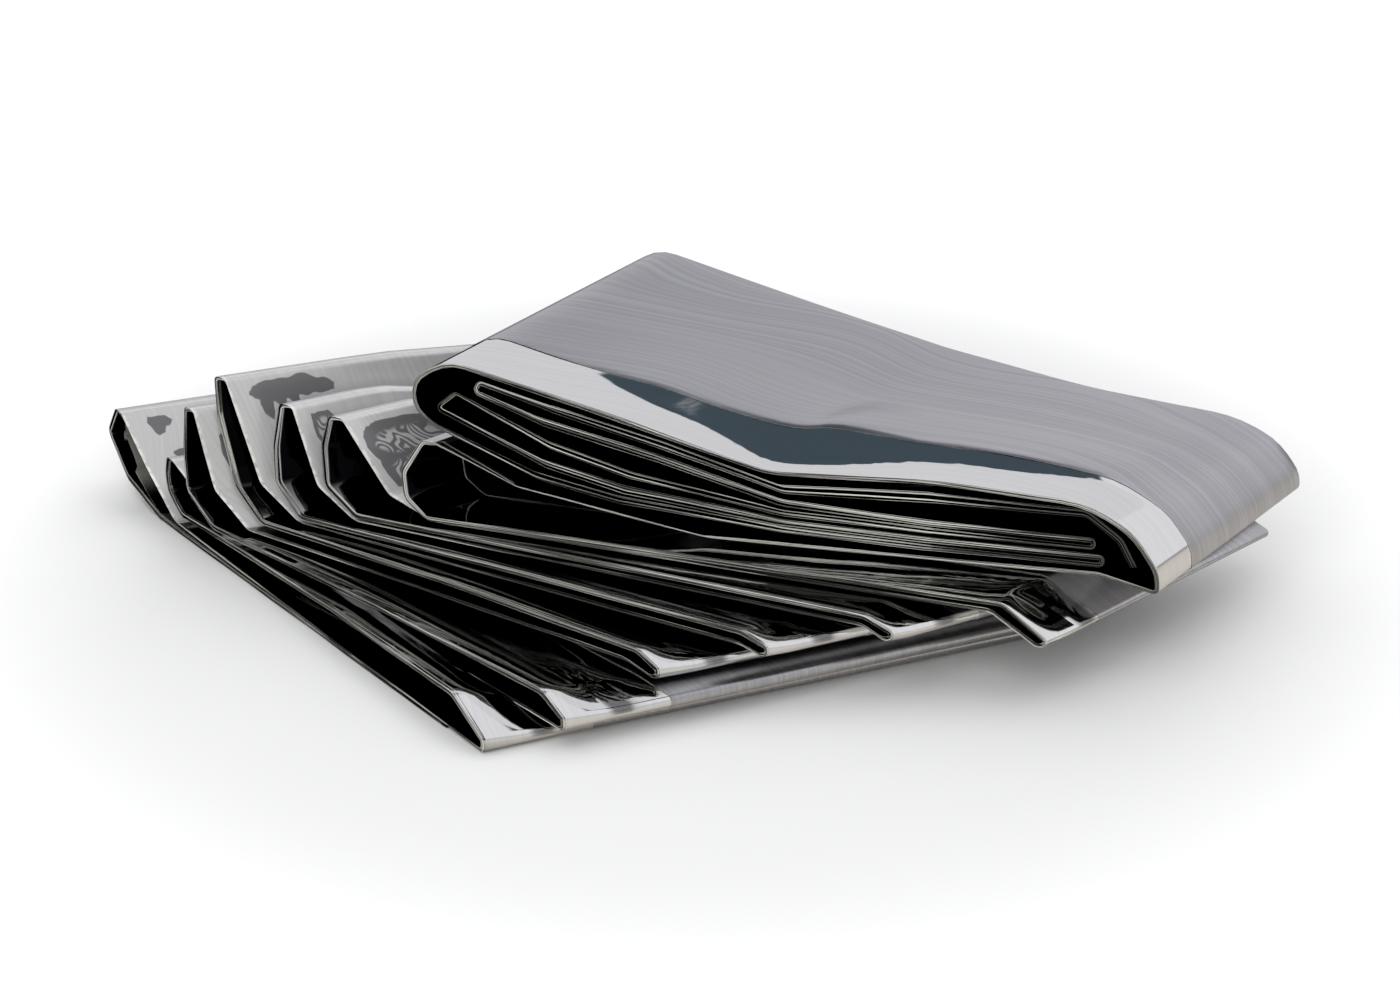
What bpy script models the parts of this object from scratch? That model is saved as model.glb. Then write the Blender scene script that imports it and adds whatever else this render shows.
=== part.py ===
"""Emergency foil blanket: a strip of many thin foils, folded back and forth and sprung half open.

The strip is one sheet. It starts as a flap on the floor, runs to and fro between left and right folds,
and ends rolled up inside the top packet. Each cross-section of it is one back-and-forth line, and the
cross-sections follow one another from the strip's front edge to its back edge.
"""
from collections import namedtuple
from math import atan2, cos, radians, sin, tan

import bpy
from mathutils import Vector

MM = 0.001                     # the sizes below are in millimetres

LEAF = 1.0                     # thickness of one leaf of the strip: its foils and the air between them
HALF = LEAF / 2
PITCH = 1.35                   # from one leaf to the next where they lie pressed together
CREASE_RADIUS = 0.6            # radius of the strip's middle line round a fold
CREST_HALF = 0.95              # half the width of a left fold's crest
CREST_RADIUS = 0.8             # and the radius of its corners
FOLD_STEPS = 3                 # steps round each corner of a fold
EASE = 2.6                     # reach of the rounding where a leaf only bends
EASE_STEPS = 2                 # steps round each bend
SECTIONS = 5                   # cross-sections from the front edge to the back edge
FLAP_SHORTFALL = 10.0          # the loose lower end stops this far short of the first right fold
TENT_FADE = 0.3                # the tents start to sink from this share of the way back
LEAST_LANDING = 1.8            # a falling leaf lands at least this far beyond its own foot

FOIL_COLOUR = (0.62, 0.63, 0.66, 1.0)
FOIL_ROUGHNESS = 0.22

# The left folds stand up as tents. Runs are measured along the leaf from the crest towards the right
# folds, heights from the floor. A leaf climbs by foot, knee and shoulder to the crest, and falls by a
# slope point given as shares of the way to where it lands. Turn is the crest line's direction in plan
# at the front, bend how much it has turned at the back, and spring the share of the tent left there.
LeftFold = namedtuple("LeftFold", "x y turn bend length foot_run foot_z knee_run knee_z "
                                  "shoulder_run shoulder_z crest_z slope_run slope_rise spring")
LEFT_FOLDS = (
    LeftFold(-103.7, 2.1, 21, 0, 100, 12.0, 0.5, 1.0, 4.0, -4.5, 11.0, 16.8, 0.52, 0.43, 1.0),
    LeftFold(-92.9, -10.3, 21, 0, 98, 2.6, 3.3, -1.4, 6.4, -1.8, 9.4, 13.2, 0.60, 0.40, 1.0),
    LeftFold(-87.4, -19.8, 21.4, 0, 96, 4.5, 6.1, -2.2, 10.8, -2.4, 18.0, 27.2, 0.36, 0.28, 0.9),
    LeftFold(-81.2, -22.1, 21.6, 0, 95, 7.5, 8.8, 2.2, 14.2, -1.0, 26.6, 34.0, 0.44, 0.235, 0.8),
    LeftFold(-69.3, -29.5, 29, -10, 56, 1.6, 11.5, -3.0, 17.0, -2.9, 23.5, 32.2, 0.38, 0.27, 0.6),
    LeftFold(-60.5, -34.0, 32, -9, 50, 2.6, 14.2, -2.6, 18.8, -2.7, 26.0, 32.0, 0.50, 0.225, 0.5),
    LeftFold(-44.5, -41.5, 42, -10, 52, -1.0, 16.7, -4.4, 20.0, -4.7, 24.6, 31.0, 0.30, 0.48, 0.5),
)

# The right folds lie one on another. Z is the middle of the fold, between its two leaves, which sink
# by droop over the last stretch, droop_run, before the tip.
RightFold = namedtuple("RightFold", "x y z turn bend length droop_run droop")
RIGHT_FOLDS = (
    RightFold(-33.7, -89.5, 1.2, 22.5, 0, 98, 9.0, 1.3),
    RightFold(-21.4, -88.0, 4.3, 23, 0, 92, 8.0, 0.8),
    RightFold(-6.9, -77.9, 7.5, 23.5, 0, 75, 8.0, 0.2),
    RightFold(10.2, -75.5, 10.05, 24.5, 0, 60, 8.0, 0.35),
    RightFold(29.9, -73.5, 11.6, 29, 0, 46, 9.0, 1.8),
    RightFold(54.0, -73.9, 10.4, 43.4, 0, 57, 9.0, 5.5),
)

# The top packet is wrapped in one long leaf, the cover. Its lower side leaves the last left fold, turns
# up at the packet's right edge and comes back over the top to the roll at its left edge.
PacketEdge = namedtuple("PacketEdge", "x y turn bend length")
PACKET_LEFT = PacketEdge(-41.6, -40.6, 49, 0, 52)
PACKET_RIGHT = PacketEdge(72.5, -65.8, 54, 0, 50)
PACKET_RUN = 117.0             # from one to the other along the front edge
BED_RUN = 46.0                 # the cover's lower side lies flat from here on
BED_Z = 18.1

# Runs are from the roll's crest, at the front edge. No reach means a tight fold.
CoverPoint = namedtuple("CoverPoint", "run front_z back_z reach")
COVER = (
    CoverPoint(107.5, 17.9, 17.7, EASE),
    CoverPoint(PACKET_RUN, 15.4, 14.4, 0),
    CoverPoint(116.8, 19.0, 17.6, 2),
    CoverPoint(112.6, 25.4, 23.0, 3),
    CoverPoint(105.0, 30.0, 26.6, 4),
    CoverPoint(80.0, 31.4, 29.4, 6),
    CoverPoint(53.5, 30.2, 34.6, 3),
    CoverPoint(28.5, 37.4, 41.0, 5),
    CoverPoint(0.5, 44.7, 48.6, 3),
    CoverPoint(-5.2, 41.2, 45.0, 2.5),
    CoverPoint(-5.4, 36.0, 39.6, 2.5),
)
COVER_TOP = COVER[4:9]         # the stretch that lies over the packet's leaves

# The leaves rolled up in the cover, from the lowest to the highest. They run alternately right and left:
# each has a tip near the roll, a neck, a belly, the packet's waist and hip, and an end at the right.
PacketLeaf = namedtuple("PacketLeaf", "tip_run tip_z neck_run neck_z belly_run belly_z waist_z hip_z "
                                      "end_run end_z")
PACKET_LEAVES = (
    PacketLeaf(-1.8, 33.2, 15.0, 25.8, 29.0, 22.8, 20.2, 19.6, 103.0, 19.5),
    PacketLeaf(-1.4, 36.4, 16.5, 28.2, 30.0, 24.8, 21.7, 21.1, 103.0, 20.95),
    PacketLeaf(1.8, 39.2, 17.5, 31.4, 31.0, 27.4, 23.3, 22.6, 97.0, 22.4),
    PacketLeaf(5.0, 39.8, 16.0, 35.6, 35.0, 31.2, 25.2, 24.1, 97.0, 23.85),
    PacketLeaf(5.8, 41.4, 18.0, 37.9, 36.0, 33.4, 27.4, 28.5, 105.0, 28.4),
)
WAIST_RUN = 56.0
HIP_RUN = 80.0
TAIL = ((110.6, 24.2), (113.0, 19.6))       # the loose upper end, inside the packet's right edge

# A corner of the line bends gently within its reach or, where it has a spread, is a tight fold whose
# radius is the reach and which is drawn out along the leaf by the spread.
Corner = namedtuple("Corner", "point reach spread")


def blend(start, end, share):
    """The value a share of the way from start to end."""
    return start + (end - start) * share


def plan_point(fold, share):
    """A fold's place in plan, a share of the way along it from the front edge."""
    angle = radians(fold.turn + fold.bend * share / 2)
    return Vector((fold.x, fold.y, 0)) + share * fold.length * Vector((cos(angle), sin(angle), 0))


def along(start, towards, run, height):
    """The point at a run along the leaf from start, at a height."""
    point = start + run * (towards - start).normalized()
    point.z = height
    return point


def fold_direction(fold, share):
    """Which way a fold runs in plan, a share of the way along it."""
    angle = radians(fold.turn + fold.bend * share)
    return Vector((cos(angle), sin(angle), 0))


def spread(fold, share, start, end):
    """How much longer a step is along the leaf than square to the fold it comes to."""
    leaf = (end - start).normalized()
    return 1 / abs(leaf.cross(fold_direction(fold, share)).z)


def tent_size(left, share):
    """The share of a left fold's tent that stands at this place along it."""
    return blend(1.0, left.spring, max(0.0, share - TENT_FADE) / (1 - TENT_FADE))


def climbing_leaf(right, left, share):
    """From the flat of the stack up to a left fold's crest."""
    crest = plan_point(left, share)
    towards = plan_point(right, share)
    size = tent_size(left, share)

    def tent(run, height):
        return along(crest, towards, run * size, blend(left.foot_z, height, size))

    top = tent(0, left.crest_z - HALF).z
    widen = spread(left, share, crest, towards)
    return [
        Corner(tent(left.foot_run, left.foot_z), EASE, 0),
        Corner(tent(left.knee_run, left.knee_z), EASE, 0),
        Corner(tent(left.shoulder_run, left.shoulder_z), EASE, 0),
        Corner(along(crest, towards, -CREST_HALF * widen, top), CREST_RADIUS, widen),
    ]


def falling_leaf(left, right, land_run, land_z, share):
    """From a left fold's crest down to where the leaf lies flat."""
    crest = plan_point(left, share)
    towards = plan_point(right, share)
    top = blend(left.foot_z, left.crest_z - HALF, tent_size(left, share))
    widen = spread(left, share, crest, towards)
    slope_run = blend(CREST_HALF * widen, land_run, left.slope_run)
    return [
        Corner(along(crest, towards, CREST_HALF * widen, top), CREST_RADIUS, widen),
        Corner(along(crest, towards, slope_run, blend(land_z, top, left.slope_rise)), EASE, 0),
        Corner(along(crest, towards, land_run, land_z), EASE, 0),
    ]


def landing_run(left, right, following, share):
    """How far from its crest a falling leaf lands: under the foot of the tent that stands beside it."""
    beside = min(1.0, share * left.length / following.length)
    crest = plan_point(left, share)
    leaf = (plan_point(right, share) - crest).normalized()
    ridge = fold_direction(following, beside)
    to_ridge = (plan_point(following, beside) - crest).cross(ridge).z / leaf.cross(ridge).z
    widen = 1 / abs(leaf.cross(ridge).z)
    climb = atan2(following.knee_z - following.foot_z, (following.foot_run - following.knee_run) / widen)
    foot_run = following.foot_run * tent_size(following, beside) - PITCH * widen * tan(climb / 2)
    own_foot_run = left.foot_run * tent_size(left, share)
    return max(to_ridge + foot_run, own_foot_run + LEAST_LANDING)


def right_tip(left_before, right, left_after, share):
    """Round a right fold, from its lower leaf to its upper one."""
    tip = plan_point(right, share)

    def leaf_end(left, side):
        towards = plan_point(left, share)
        widen = spread(right, share, tip, towards)
        slope = atan2(right.droop, right.droop_run / widen)
        run = -side * PITCH / 2 * sin(slope) * widen
        z = right.z + side * PITCH / 2 * cos(slope)
        return [Corner(along(tip, towards, run, z), CREASE_RADIUS, widen),
                Corner(along(tip, towards, run + right.droop_run, z + right.droop), EASE, 0)]

    return leaf_end(left_before, -1)[::-1] + leaf_end(left_after, 1)


def stack_corners(share):
    """The flap and all the leaves under the packet, up to the cover's lower side."""
    first_tip = plan_point(RIGHT_FOLDS[0], share)
    flap_end = along(first_tip, plan_point(LEFT_FOLDS[0], share), FLAP_SHORTFALL, HALF)
    corners = [Corner(flap_end, EASE, 0)]
    before = RIGHT_FOLDS[0]
    for left, right, following in zip(LEFT_FOLDS, RIGHT_FOLDS, LEFT_FOLDS[1:]):
        land_run = landing_run(left, right, following, share)
        corners += climbing_leaf(before, left, share)
        corners += falling_leaf(left, right, land_run, following.foot_z - PITCH, share)
        corners += right_tip(left, right, following, share)
        before = right
    last = LEFT_FOLDS[-1]
    corners += climbing_leaf(before, last, share)
    corners += falling_leaf(last, PACKET_RIGHT, BED_RUN, BED_Z, share)
    return corners


def cover_heights(run):
    """The cover's height over the packet's leaves at the front edge and at the back one."""
    points = COVER_TOP[::-1]
    run = min(max(run, points[0].run), points[-1].run)
    for low, high in zip(points, points[1:]):
        if run <= high.run:
            part = (run - low.run) / (high.run - low.run)
            return blend(low.front_z, high.front_z, part), blend(low.back_z, high.back_z, part)


def packet_corners(share):
    """The cover round the packet, then the leaves rolled up in it."""
    left = plan_point(PACKET_LEFT, share)
    right = plan_point(PACKET_RIGHT, share)
    stretch = (right - left).length / PACKET_RUN
    widen = spread(PACKET_LEFT, share, left, right)

    def corner(run, height, reach=EASE):
        point = along(left, right, run * stretch, height)
        return Corner(point, reach, 0) if reach else Corner(point, CREASE_RADIUS, widen)

    def inside(run, front_height, reach=EASE):
        front_top, back_top = cover_heights(run)
        lift = (blend(front_top, back_top, share) - BED_Z) / (front_top - BED_Z)
        return corner(run, BED_Z + (front_height - BED_Z) * lift, reach)

    def stacked(run, front_height, level, reach=EASE):
        even = BED_Z + (cover_heights(run)[1] - BED_Z) * (level + 1) / (len(PACKET_LEAVES) + 1)
        return corner(run, blend(front_height, even, share), reach)

    corners = [corner(point.run, blend(point.front_z, point.back_z, share), point.reach) for point in COVER]
    for number, leaf in enumerate(PACKET_LEAVES):
        stations = [
            inside(leaf.tip_run, leaf.tip_z, 0 if number > 0 else EASE),
            inside(leaf.neck_run, leaf.neck_z),
            inside(leaf.belly_run, leaf.belly_z),
            inside(WAIST_RUN, leaf.waist_z),
            stacked(HIP_RUN, leaf.hip_z, number),
            stacked(leaf.end_run, leaf.end_z, number, 0 if number < len(PACKET_LEAVES) - 1 else EASE),
        ]
        corners += stations if number % 2 == 0 else stations[::-1]
    return corners + [inside(run, height) for run, height in TAIL]


def drawn_out(vector, factor):
    """The vector with its level part made longer."""
    return Vector((vector.x * factor, vector.y * factor, vector.z))


def fold_arc(before, corner, after):
    """Points round one corner of a tight fold, which is a circle when cut square to the fold."""
    towards_before = drawn_out(before - corner.point, 1 / corner.spread).normalized()
    towards_after = drawn_out(after - corner.point, 1 / corner.spread).normalized()
    half_angle = towards_before.angle(towards_after) / 2
    centre = (towards_before + towards_after).normalized() * corner.reach / sin(half_angle)
    first = (towards_before * corner.reach / tan(half_angle) - centre).normalized()
    last = (towards_after * corner.reach / tan(half_angle) - centre).normalized()
    return [corner.point + drawn_out(centre + corner.reach * first.slerp(last, step / FOLD_STEPS),
                                     corner.spread) for step in range(FOLD_STEPS + 1)]


def eased_bend(before, corner, after):
    """Points round a gentle bend, on a parabola between the two sides."""
    middle = corner.point
    first = middle + (before - middle).normalized() * min(corner.reach, (before - middle).length / 2.2)
    last = middle + (after - middle).normalized() * min(corner.reach, (after - middle).length / 2.2)
    points = []
    for step in range(EASE_STEPS + 1):
        part = step / EASE_STEPS
        points.append(first.lerp(middle, part).lerp(middle.lerp(last, part), part))
    return points


def section_line(share):
    """The strip's middle line, a share of the way from its front edge to its back edge."""
    corners = stack_corners(share) + packet_corners(share)
    line = [corners[0].point]
    for before, corner, after in zip(corners, corners[1:], corners[2:]):
        bend = fold_arc if corner.spread else eased_bend
        line += bend(before.point, corner, after.point)
    return line + [corners[-1].point]


def foil_material():
    """Bright metallised film."""
    material = bpy.data.materials.new("metallised_film")
    material.use_nodes = True
    shader = material.node_tree.nodes["Principled BSDF"]
    shader.inputs["Base Color"].default_value = FOIL_COLOUR
    shader.inputs["Metallic"].default_value = 1.0
    shader.inputs["Roughness"].default_value = FOIL_ROUGHNESS
    return material


def foil_blanket():
    """The whole blanket: the open back-and-forth surface, thickened to a leaf."""
    lines = [section_line(section / (SECTIONS - 1)) for section in range(SECTIONS)]
    points = [MM * point for line in lines for point in line]
    count = len(lines[0])
    faces = []
    for section in range(SECTIONS - 1):
        for step in range(count - 1):
            corner = section * count + step
            faces.append((corner, corner + 1, corner + count + 1, corner + count))
    mesh = bpy.data.meshes.new("foil_blanket")
    mesh.from_pydata(points, [], faces)
    mesh.materials.append(foil_material())
    blanket = bpy.data.objects.new("foil_blanket", mesh)
    thickness = blanket.modifiers.new("leaf", "SOLIDIFY")
    thickness.thickness = LEAF * MM
    thickness.offset = 0
    thickness.use_even_offset = True
    return blanket


def stand_on_origin(blanket):
    """Moves the mesh so that the middle of its underside is at the origin."""
    bpy.context.view_layer.update()
    solid = blanket.evaluated_get(bpy.context.evaluated_depsgraph_get())
    corners = [Vector(corner) for corner in solid.bound_box]
    low = Vector(map(min, zip(*corners)))
    high = Vector(map(max, zip(*corners)))
    middle = (low + high) / 2
    for vertex in blanket.data.vertices:
        vertex.co -= Vector((middle.x, middle.y, low.z))


def main():
    for old in list(bpy.data.objects):
        bpy.data.objects.remove(old)
    collection = bpy.data.collections.new("Emergency foil blanket")
    bpy.context.scene.collection.children.link(collection)
    blanket = foil_blanket()
    collection.objects.link(blanket)
    stand_on_origin(blanket)


main()
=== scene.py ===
"""How the emergency foil blanket looks.

The blanket is one strip of thin foils, folded back and forth between left and right folds and then rolled
up in its own last leaf. The tables hold the strip's folds in millimetres. Five folds of foil follow them,
one on another, each turned over along its front and back edges.
"""
from collections import namedtuple
from math import atan2, ceil, cos, pi, radians, sin, tan

import bpy
import numpy as np
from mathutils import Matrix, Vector, noise


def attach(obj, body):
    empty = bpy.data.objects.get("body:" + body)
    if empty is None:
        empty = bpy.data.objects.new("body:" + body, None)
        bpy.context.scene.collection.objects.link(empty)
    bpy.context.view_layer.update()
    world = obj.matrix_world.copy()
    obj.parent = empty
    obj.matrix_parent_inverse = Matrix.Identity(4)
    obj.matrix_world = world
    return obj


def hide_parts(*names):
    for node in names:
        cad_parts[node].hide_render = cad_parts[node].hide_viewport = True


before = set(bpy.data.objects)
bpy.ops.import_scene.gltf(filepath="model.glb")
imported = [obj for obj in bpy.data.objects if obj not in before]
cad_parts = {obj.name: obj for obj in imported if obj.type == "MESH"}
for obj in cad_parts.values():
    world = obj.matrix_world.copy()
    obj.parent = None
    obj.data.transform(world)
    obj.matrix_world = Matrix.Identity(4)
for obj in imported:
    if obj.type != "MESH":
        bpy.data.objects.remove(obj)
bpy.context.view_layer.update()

MM = 0.001  # the sizes below are in millimetres
PLAN_CENTRE = (-1.96, -24.27)  # the middle of the blanket's box, in the tables' coordinates

LEAF = 1.0  # thickness of one leaf of the strip: its foils and the air between them
HALF = LEAF / 2
PITCH = 1.35  # from one leaf to the next where they lie pressed together
CREASE_RADIUS = 0.6  # radius of the strip's middle line round a fold
CREST_HALF = 0.95  # half the width of a left fold's crest
CREST_RADIUS = 0.8  # and the radius of its corners
FOLD_STEPS = 5  # steps round each corner of a fold
EASE = 0.9  # reach of the rounding where a leaf only bends
EASE_STEPS = 3  # steps round each bend
LEAST_SIDE = 2.2  # a side is at least this many times as long as the reach along it
STRAIGHT_STEP = 2.6  # longest step where the strip runs straight
# Where the cross-sections lie that the foils are laid between, as shares of the way back.
BASE_SHARES = (0.0, 0.02, 0.04, 0.065, 0.09, 0.12, 0.2, 0.3, 0.42, 0.55, 0.7, 0.85, 1.0)
FLAP_SHORTFALL = 10.0  # the loose lower end stops this far short of the first right fold
TENT_FADE = 0.3  # the tents start to sink from this share of the way back
LEAST_LANDING = 1.8  # a falling leaf lands at least this far beyond its own foot

# The left folds stand up as tents. Runs are measured along the leaf from the crest towards the right
# folds, heights from the floor. A leaf climbs by foot, knee and shoulder to the crest, and falls by a
# slope point given as shares of the way to where it lands. Turn is the crest line's direction in plan
# at the front, bend how much it has turned at the back, and spring the share of the tent left there.
LeftFold = namedtuple("LeftFold", "x y turn bend length foot_run foot_z knee_run knee_z "
                                  "shoulder_run shoulder_z crest_z slope_run slope_rise spring")
LEFT_FOLDS = (
    LeftFold(-103.7, 2.1, 21, 0, 100, 12.0, 0.5, 1.0, 4.0, -4.5, 11.0, 16.8, 0.52, 0.43, 1.0),
    LeftFold(-92.9, -10.3, 21, 0, 98, 2.6, 3.3, -1.4, 6.4, -1.8, 9.4, 13.2, 0.60, 0.40, 1.0),
    LeftFold(-87.4, -19.8, 21.4, 0, 96, 4.5, 6.1, -2.2, 10.8, -2.4, 18.0, 27.2, 0.36, 0.28, 0.9),
    LeftFold(-81.2, -22.1, 21.6, 0, 95, 7.5, 8.8, 2.2, 14.2, -1.0, 26.6, 34.0, 0.44, 0.235, 0.8),
    LeftFold(-69.3, -29.5, 29, -10, 56, 1.6, 11.5, -3.0, 17.0, -2.9, 23.5, 32.2, 0.38, 0.27, 0.6),
    LeftFold(-60.5, -34.0, 32, -9, 50, 2.6, 14.2, -2.6, 18.8, -2.7, 26.0, 32.0, 0.50, 0.225, 0.5),
    LeftFold(-44.5, -41.5, 42, -10, 52, -1.0, 16.7, -4.4, 20.0, -4.7, 24.6, 31.0, 0.30, 0.48, 0.5),
)

# The right folds lie one on another. Z is the middle of the fold, between its two leaves, which sink
# by droop over the last stretch, droop_run, before the tip.
RightFold = namedtuple("RightFold", "x y z turn bend length droop_run droop")
RIGHT_FOLDS = (
    RightFold(-33.7, -89.5, 1.2, 22.5, 0, 98, 9.0, 1.3),
    RightFold(-21.4, -88.0, 4.3, 23, 0, 92, 8.0, 0.8),
    RightFold(-6.9, -77.9, 7.5, 23.5, 0, 75, 8.0, 0.2),
    RightFold(10.2, -75.5, 10.05, 24.5, 0, 60, 8.0, 0.35),
    RightFold(29.9, -73.5, 11.6, 29, 0, 46, 9.0, 1.8),
    RightFold(54.0, -73.9, 10.4, 43.4, 0, 57, 9.0, 5.5),
)

# At the front edge the right folds gape. The leaf below and the one above are lifted from their places
# by the lift, which is full at the run from the tip and is gone where the leaf reaches its left fold.
Mouth = namedtuple("Mouth", "low_run low_lift high_run high_lift")
MOUTHS = (
    Mouth(9.0, -1.3, 8.4, 4.0),
    Mouth(8.0, -0.7, 5.0, 2.5),
    Mouth(6.0, 1.3, 4.0, 2.3),
    Mouth(5.0, 0.8, 4.5, 1.6),
    Mouth(5.0, 0.2, 4.5, 0.5),
    Mouth(9.0, 0.0, 7.0, 0.2),
)
TIP_HALF = 1.0  # half the height of a right fold's tip, between the middles of its leaves
TIP_RADIUS = 0.9
TIP_LOWEST = 1.45  # the lowest middle of a tip
MARGIN = 0.12  # the share of the strip's width over which the front edge gapes
LOFT_RUN = 45.0  # the gaping leaves stay level up to this far from the tip
FAR_LIFT = 0.8  # and have this share of their lift left there

# The top packet is wrapped in one long leaf, the cover. Its lower side leaves the last left fold, turns
# up at the packet's right edge and comes back over the top to the roll at its left edge.
PacketEdge = namedtuple("PacketEdge", "x y turn bend length")
PACKET_LEFT = PacketEdge(-41.6, -40.6, 49, 0, 52)
PACKET_RIGHT = PacketEdge(72.5, -65.8, 54, 0, 50)
PACKET_RUN = 117.0  # from one to the other along the front edge
BED_RUN = 46.0  # the cover's lower side lies flat from here on
BED_Z = 18.1

# Runs are from the roll's crest, at the front edge. No reach means a tight fold.
CoverPoint = namedtuple("CoverPoint", "run front_z back_z reach")
COVER = (
    CoverPoint(107.5, 17.9, 17.7, EASE),
    CoverPoint(PACKET_RUN, 15.4, 14.4, 0),
    CoverPoint(116.8, 19.0, 17.6, 2),
    CoverPoint(112.6, 25.4, 23.0, 3),
    CoverPoint(105.0, 30.0, 26.6, 4),
    CoverPoint(80.0, 31.4, 29.4, 6),
    CoverPoint(53.5, 30.2, 34.6, 3),
    CoverPoint(28.5, 37.4, 41.0, 5),
    CoverPoint(0.5, 44.7, 48.6, 3),
    CoverPoint(-5.2, 41.2, 45.0, 2.5),
    CoverPoint(-5.4, 36.0, 39.6, 2.5),
)
COVER_TOP = COVER[4:9]  # the stretch that lies over the packet's leaves

# The leaves rolled up in the cover, from the lowest to the highest. They run alternately right and left:
# each has a tip near the roll, a neck, a belly, the packet's waist and hip, and an end at the right.
PacketLeaf = namedtuple("PacketLeaf", "tip_run tip_z neck_run neck_z belly_run belly_z waist_z hip_z "
                                      "end_run end_z")
PACKET_LEAVES = (
    PacketLeaf(-1.8, 33.2, 15.0, 25.8, 29.0, 22.8, 20.2, 19.6, 108.0, 19.5),
    PacketLeaf(-1.4, 36.4, 16.5, 28.2, 30.0, 24.8, 21.7, 21.1, 108.0, 20.95),
    PacketLeaf(1.8, 39.2, 17.5, 31.4, 31.0, 27.4, 23.3, 22.6, 106.5, 22.4),
    PacketLeaf(5.0, 39.8, 16.0, 35.6, 35.0, 31.2, 25.2, 24.1, 106.5, 23.85),
    PacketLeaf(5.8, 41.4, 18.0, 37.9, 36.0, 33.4, 27.4, 28.5, 105.0, 28.4),
)
WAIST_RUN = 56.0
HIP_RUN = 80.0
TAIL = ((110.6, 24.2), (113.0, 19.6))  # the loose upper end, inside the packet's right edge

# A corner of the line bends gently within its reach or, where it has a spread, is a tight fold whose
# radius is the reach and which is drawn out along the leaf by the spread.
Corner = namedtuple("Corner", "point reach spread")


def blend(start, end, share):
    """The value a share of the way from start to end."""
    return start + (end - start) * share


def plan_point(fold, share):
    """A fold's place in plan, a share of the way along it from the front edge."""
    angle = radians(fold.turn + fold.bend * share / 2)
    return Vector((fold.x, fold.y, 0)) + share * fold.length * Vector((cos(angle), sin(angle), 0))


def along(start, towards, run, height):
    """The point at a run along the leaf from start, at a height."""
    point = start + run * (towards - start).normalized()
    point.z = height
    return point


def fold_direction(fold, share):
    """Which way a fold runs in plan, a share of the way along it."""
    angle = radians(fold.turn + fold.bend * share)
    return Vector((cos(angle), sin(angle), 0))


def spread(fold, share, start, end):
    """How much longer a step is along the leaf than square to the fold it comes to."""
    leaf = (end - start).normalized()
    return 1 / abs(leaf.cross(fold_direction(fold, share)).z)


def tent_size(left, share):
    """The share of a left fold's tent that stands at this place along it."""
    return blend(1.0, left.spring, max(0.0, share - TENT_FADE) / (1 - TENT_FADE))


def climbing_leaf(right, left, share):
    """From the flat of the stack up to a left fold's crest."""
    crest = plan_point(left, share)
    towards = plan_point(right, share)
    size = tent_size(left, share)

    def tent(run, height):
        return along(crest, towards, run * size, blend(left.foot_z, height, size))

    top = tent(0, left.crest_z - HALF).z
    widen = spread(left, share, crest, towards)
    return [
        Corner(tent(left.foot_run, left.foot_z), EASE, 0),
        Corner(tent(left.knee_run, left.knee_z), EASE, 0),
        Corner(tent(left.shoulder_run, left.shoulder_z), EASE, 0),
        Corner(along(crest, towards, -CREST_HALF * widen, top), CREST_RADIUS, widen),
    ]


def falling_leaf(left, right, land_run, land_z, share):
    """From a left fold's crest down to where the leaf lies flat."""
    crest = plan_point(left, share)
    towards = plan_point(right, share)
    top = blend(left.foot_z, left.crest_z - HALF, tent_size(left, share))
    widen = spread(left, share, crest, towards)
    slope_run = blend(CREST_HALF * widen, land_run, left.slope_run)
    return [
        Corner(along(crest, towards, CREST_HALF * widen, top), CREST_RADIUS, widen),
        Corner(along(crest, towards, slope_run, blend(land_z, top, left.slope_rise)), EASE, 0),
        Corner(along(crest, towards, land_run, land_z), EASE, 0),
    ]


def landing_run(left, right, following, share):
    """How far from its crest a falling leaf lands: under the foot of the tent that stands beside it."""
    beside = min(1.0, share * left.length / following.length)
    crest = plan_point(left, share)
    leaf = (plan_point(right, share) - crest).normalized()
    ridge = fold_direction(following, beside)
    to_ridge = (plan_point(following, beside) - crest).cross(ridge).z / leaf.cross(ridge).z
    widen = 1 / abs(leaf.cross(ridge).z)
    climb = atan2(following.knee_z - following.foot_z, (following.foot_run - following.knee_run) / widen)
    foot_run = following.foot_run * tent_size(following, beside) - PITCH * widen * tan(climb / 2)
    own_foot_run = left.foot_run * tent_size(left, share)
    return max(to_ridge + foot_run, own_foot_run + LEAST_LANDING)


def right_tip(left_before, right, mouth, left_after, share):
    """Round a right fold, from its lower leaf to its upper one."""
    tip = plan_point(right, share)
    gape = max(0.0, 1 - share / MARGIN)
    gape *= gape * (3 - 2 * gape)

    def leaf_end(left, side, run, lift):
        towards = plan_point(left, share)
        widen = spread(right, share, tip, towards)
        middle = max(right.z, TIP_LOWEST)
        tip_z = middle + side * blend(PITCH / 2, TIP_HALF, gape)
        loft_z = right.z + side * PITCH / 2 + right.droop + lift * gape
        far_z = right.z + side * PITCH / 2 + right.droop + lift * gape * FAR_LIFT
        return [Corner(along(tip, towards, 0, tip_z), blend(CREASE_RADIUS, TIP_RADIUS, gape), widen),
                Corner(along(tip, towards, blend(right.droop_run, run, gape), loft_z), EASE, 0),
                Corner(along(tip, towards, LOFT_RUN, far_z), EASE, 0)]

    return (leaf_end(left_before, -1, mouth.low_run, mouth.low_lift)[::-1]
            + leaf_end(left_after, 1, mouth.high_run, mouth.high_lift))


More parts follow.
